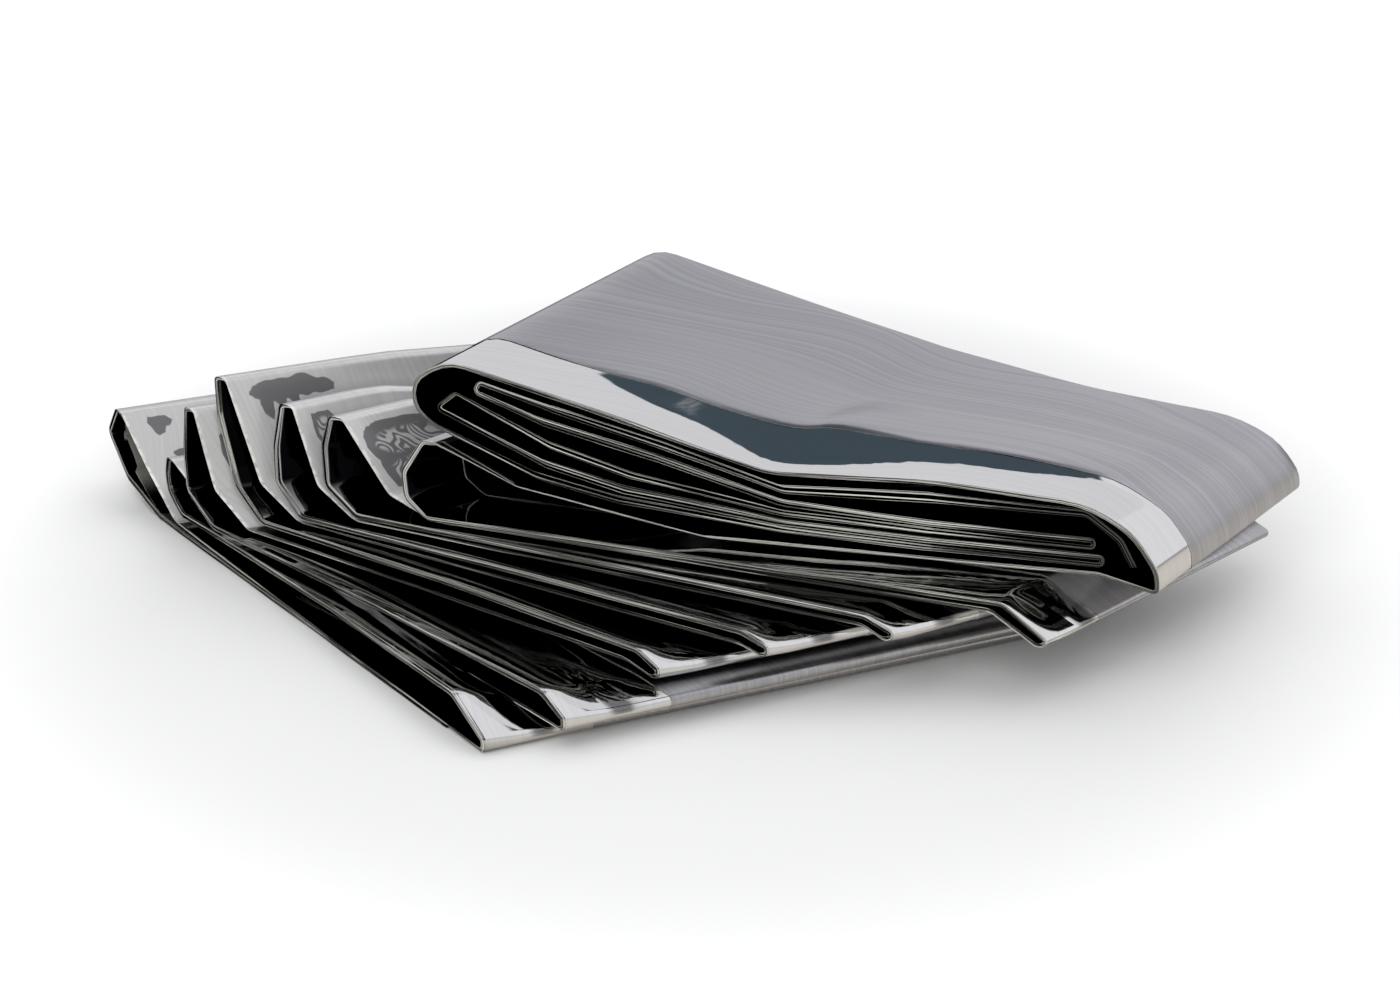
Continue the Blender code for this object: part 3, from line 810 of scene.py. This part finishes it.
LINE_SHADE = (0.11, 0.112, 0.10)  # the lines of film on the edges: painted shade on the dark ones and painted highlights on the bright ones
LINE_HIGHLIGHT = (0.90, 0.90, 0.83)
LINE_RANGE = (0.47, 0.57)
LINE_METALLIC = (0.6, 0.35)
FALLING_SHARE = 0.2  # how much a falling edge's painted highlight adds to the bright lines, or a rolled end's painted shade takes off


def film_group():
    """Thin film's streaks from rolling, its slow ripples, painted shade on its inner sides and a painted dark
    reflection where it buckles.
    """
    group = bpy.data.node_groups.new("film", "ShaderNodeTree")
    for name, kind in (("Colour", "Color"), ("Streak Colour", "Color"), ("Ripple Height", "Float")):
        group.interface.new_socket(name, in_out="INPUT", socket_type="NodeSocket" + kind)
    for name, kind in (("Colour", "Color"), ("Height", "Float")):
        group.interface.new_socket(name, in_out="OUTPUT", socket_type="NodeSocket" + kind)
    nodes = Nodes(group)
    given = nodes.add("NodeGroupInput").outputs
    straight = nodes.add("ShaderNodeUVMap", uv_map="strip").outputs["UV"]
    drift = nodes.strip_noise(DRIFT, detail=1.0, output="Color")
    drifted = nodes.maths("MULTIPLY_ADD", drift, DRIFT_REACH, straight, kind="VectorMath", output="Vector")
    share = nodes.ramp(nodes.strip_noise(STREAKS, drifted, detail=4.0), *STREAK_RANGE)
    streaked = nodes.mixed(share, given["Colour"], given["Streak Colour"])
    buckle_and_dark_reflection = nodes.value("buckle_and_dark_reflection")
    # painted dark reflection where the film buckles
    with_dark_reflection = nodes.mixed(nodes.ramp(buckle_and_dark_reflection, *BUCKLED_DARK_REFLECTION_RANGE, 0.0, BUCKLED_DARK_REFLECTION_SHARE), streaked, BUCKLED_DARK_REFLECTION_COLOUR)
    ripple = nodes.strip_noise(RIPPLES, distortion=1.2)
    stronger = nodes.maths("MULTIPLY_ADD", buckle_and_dark_reflection, BUCKLED_HEIGHT, given["Ripple Height"])
    nodes.add("NodeGroupOutput", {
        # painted shade: the inner sides go to the dark of the folds
        "Colour": nodes.mixed(nodes.value("inside"), with_dark_reflection, FOLD_SHADE_AND_DARK_SKY),
        "Height": nodes.maths("MULTIPLY", ripple, stronger),
    })
    return group


def film_material(name, group, film):
    """A finish of the film, to be added to: the material, its nodes, its shader and the film's colour."""
    material, nodes, shader = new_material(name, {"Metallic": 1.0, "Roughness": film.roughness})
    given = {"Colour": film.colour, "Streak Colour": film.streaks, "Ripple Height": film.ripples}
    surface = nodes.add("ShaderNodeGroup", given, node_tree=group).outputs
    bump = nodes.add("ShaderNodeBump", {"Height": surface["Height"], "Distance": 1.0, "Strength": 1.0})
    nodes.feed(shader, {"Base Color": surface["Colour"], "Normal": bump.outputs["Normal"]})
    return material, nodes, shader, surface["Colour"]


def mirror_finish(group):
    """The bright side, duller where it bulges inside the first left fold."""
    material, nodes, shader, clean = film_material("mirror_foil", group, MIRROR)
    share = nodes.ramp(nodes.value("bulged"), *BULGED_RANGE)
    nodes.feed(shader, {
        "Base Color": nodes.mixed(share, clean, BULGED_COLOUR),
        "Metallic": nodes.ramp(share, 0.0, 1.0, *BULGED_METALLIC),
        "Roughness": nodes.ramp(share, 0.0, 1.0, *BULGED_ROUGHNESS),
    })
    return material


def satin_finish(group):
    """The lining: satin on the tents' open faces, with painted dark reflections and painted edge highlights,
    and bright elsewhere.
    """
    material, nodes, shader, clean = film_material("satin_foil", group, SATIN)
    face = nodes.value("tent_face")
    dent_reflection = nodes.value("dent_reflection")
    uneven = nodes.strip_noise(DENT_REFLECTION_EDGES, detail=0.5, distortion=1.6)
    raised = nodes.maths("MULTIPLY_ADD", uneven, DENT_REFLECTION_UNEVEN, dent_reflection)
    wave = nodes.maths("SINE", nodes.maths("MULTIPLY", uneven, SWIRL_TURNS))
    swirls = nodes.ramp(wave, *SWIRL_RANGE, 0.0, SWIRL_CLEAR)
    swirled = nodes.maths("MULTIPLY", nodes.ramp(dent_reflection, *SWIRL_DEPTH), swirls)
    # painted dark reflection on dented places, with clear swirls through the deep ones
    patch = nodes.maths("SUBTRACT", nodes.ramp(raised, *DENT_REFLECTION_RANGE), swirled, use_clamp=True)
    # painted highlight along a falling leaf's front edge, broken up by noise
    broken = nodes.ramp(nodes.strip_noise(SPECKLES, detail=1.0), *SHINE_RANGE)
    shine = nodes.maths("MULTIPLY", nodes.value("falling"), broken, use_clamp=True)
    nodes.feed(shader, {
        "Base Color": nodes.mixed(shine, nodes.mixed(patch, clean, DENT_REFLECTION_COLOUR), SHINE_COLOUR),
        "Metallic": nodes.ramp(face, 0.0, 1.0, *FACE_METALLIC),
        "Roughness": nodes.ramp(face, 0.0, 1.0, *FACE_ROUGHNESS),
    })
    return material


def cut_edge_finish():
    """The foils' edges: fine lines of film painted with highlights between lines painted with shade."""
    material, nodes, shader = new_material("cut_edges", {"Roughness": 0.22})
    # a falling edge's painted highlight, or a rolled end's painted shade, shifts the lines
    lines = nodes.maths("MULTIPLY_ADD", nodes.value("falling"), FALLING_SHARE, nodes.strip_noise(EDGE_LINES))
    share = nodes.ramp(lines, *LINE_RANGE)
    nodes.feed(shader, {
        # painted highlights on the bright lines, painted shade on the dark ones
        "Base Color": nodes.mixed(share, LINE_SHADE, LINE_HIGHLIGHT),
        "Metallic": nodes.ramp(share, 0.0, 1.0, *LINE_METALLIC),
    })
    return material


# The studio's soft panels as a reflection sees them: the way to each one's middle, the angles at which it
# starts and stops fading, in degrees, and its colour. Later panels cover earlier ones.
Panel = namedtuple("Panel", "towards full gone colour")
PANELS = (
    Panel((0.05, 0.35, 0.93), 30, 42, (0.056, 0.078, 0.098)),
    Panel((0.78, -0.62, 0.15), 22, 36, (0.60, 0.60, 0.59)),
    Panel((0.80, 0.05, 0.60), 38, 41, (0.80, 0.80, 0.83)),
    Panel((0.10, 0.93, 0.34), 39.5, 41.5, (0.72, 0.72, 0.75)),
)

# A reflection sees the floor with painted shade on the left and painted warm light on the right, passing from
# one to the other between these places. Otherwise the floor has an even tone.
FLOOR_LIT = (-0.050, -0.020)
FLOOR_PAINTED_SHADE = (0.008, 0.008, 0.008)
FLOOR_PAINTED_LIGHT = (0.445, 0.422, 0.385)
FLOOR_TONE = (0.585, 0.585, 0.585)
FLOOR_WHITE = (0.09, 0.24)  # it turns plain white between these distances from the middle
FLOOR_HALF = 3.0  # half the floor's size, in metres

# The lamps are for dull surfaces alone: name, place, size in metres and power in watts.
LAMPS = (
    ("soft_lamp", (-0.10, 0.35, 1.10), 1.9, 20.5),
    ("front_lamp", (-0.20, -0.95, 0.70), 1.2, 14),
)

ELEVATION = 26  # the camera's height above the horizon, in degrees
DISTANCE = 558 * MM
LENS = 79.7


def floor_paint():
    """The floor's finish, with its colours from the table above, among them the painted shade and light that
    reflections see.
    """
    values = {"Roughness": 0.9, "Specular IOR Level": 0.0, "Emission Color": (1, 1, 1)}
    paint, nodes, shader = new_material("floor_paint", values)
    place = nodes.add("ShaderNodeNewGeometry").outputs["Position"]
    seen = nodes.add("ShaderNodeLightPath").outputs
    split = nodes.add("ShaderNodeSeparateXYZ", {0: place})
    lit = nodes.ramp(split.outputs["X"], *FLOOR_LIT)
    # painted shade and painted warm light on the floor, for reflections alone
    reflected = nodes.mixed(lit, FLOOR_PAINTED_SHADE, FLOOR_PAINTED_LIGHT)
    away = nodes.maths("LENGTH", place, kind="VectorMath")
    white = nodes.ramp(away, *FLOOR_WHITE)
    nodes.feed(shader, {
        "Base Color": nodes.mixed(seen["Is Glossy Ray"], FLOOR_TONE, reflected),
        "Emission Strength": nodes.maths("MULTIPLY", white, seen["Is Camera Ray"]),
    })
    return paint


def lay_floor():
    """A pale floor, with painted shade and light where reflections see it."""
    mesh = bpy.data.meshes.new("floor")
    corners = [(x * FLOOR_HALF, y * FLOOR_HALF, 0) for x, y in ((-1, -1), (1, -1), (1, 1), (-1, 1))]
    mesh.from_pydata(corners, [], [(0, 1, 2, 3)])
    mesh.materials.append(floor_paint())
    floor = bpy.data.objects.new("floor", mesh)
    bpy.context.scene.collection.objects.link(floor)


def set_up_studio():
    """Soft panels for reflections, plain white behind the floor, and two soft lamps."""
    world = bpy.data.worlds.new("studio")
    bpy.context.scene.world = world
    world.use_nodes = True
    nodes = Nodes(world.node_tree)
    direction = nodes.add("ShaderNodeTexCoord").outputs["Generated"]
    sky = FOLD_SHADE_AND_DARK_SKY
    for panel in PANELS:
        towards = Vector(panel.towards).normalized()
        facing = nodes.maths("DOT_PRODUCT", direction, towards, kind="VectorMath")
        share = nodes.ramp(facing, cos(radians(panel.gone)), cos(radians(panel.full)))
        sky = nodes.mixed(share, sky, panel.colour)
    seen = nodes.add("ShaderNodeLightPath").outputs["Is Camera Ray"]
    nodes.feed(world.node_tree.nodes["Background"], {"Color": nodes.mixed(seen, sky, (1, 1, 1))})

    for name, place, size, energy in LAMPS:
        lamp = bpy.data.lights.new(name, "AREA")
        lamp.size = size
        lamp.energy = energy
        light = bpy.data.objects.new(name, lamp)
        light.visible_glossy = False
        light.location = place
        light.rotation_euler = (-light.location).to_track_quat("-Z", "Y").to_euler()
        bpy.context.scene.collection.objects.link(light)
    bpy.context.scene.view_settings.view_transform = "Standard"


def set_up_camera():
    """A camera that looks at the tables' origin on the floor."""
    data = bpy.data.cameras.new("camera")
    data.lens = LENS
    data.clip_start = 0.01
    view = bpy.data.objects.new("camera", data)
    target = Vector((-PLAN_CENTRE[0], -PLAN_CENTRE[1], 0)) * MM
    angle = radians(ELEVATION)
    view.location = target + DISTANCE * Vector((0, -cos(angle), sin(angle)))
    view.rotation_euler = (pi / 2 - angle, 0, 0)
    bpy.context.scene.collection.objects.link(view)
    bpy.context.scene.camera = view


def main():
    """The foils in their places, then the studio round them."""
    surface, marks = strip_surface()
    along_strip = np.gradient(surface, axis=1)
    across_strip = np.gradient(surface, np.array(BASE_SHARES), axis=0)
    normals = unit(np.cross(across_strip, along_strip))
    runs = np.concatenate([[0], np.cumsum(np.linalg.norm(np.diff(surface.mean(axis=0), axis=0), axis=-1))])
    group = film_group()
    finishes = {
        "mirror_foil": mirror_finish(group),
        "brushed_foil": film_material("brushed_foil", group, BRUSHED)[0],
        "satin_foil": satin_finish(group),
        "cut_edges": cut_edge_finish(),
    }
    for seed, fold in enumerate(FOLDS):
        foil, width = foil_fold(fold, surface, normals, runs, marks, finishes, seed)
        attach(foil, "root")
        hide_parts("foil_blanket")
    lay_floor()
    set_up_studio()
    set_up_camera()


main()
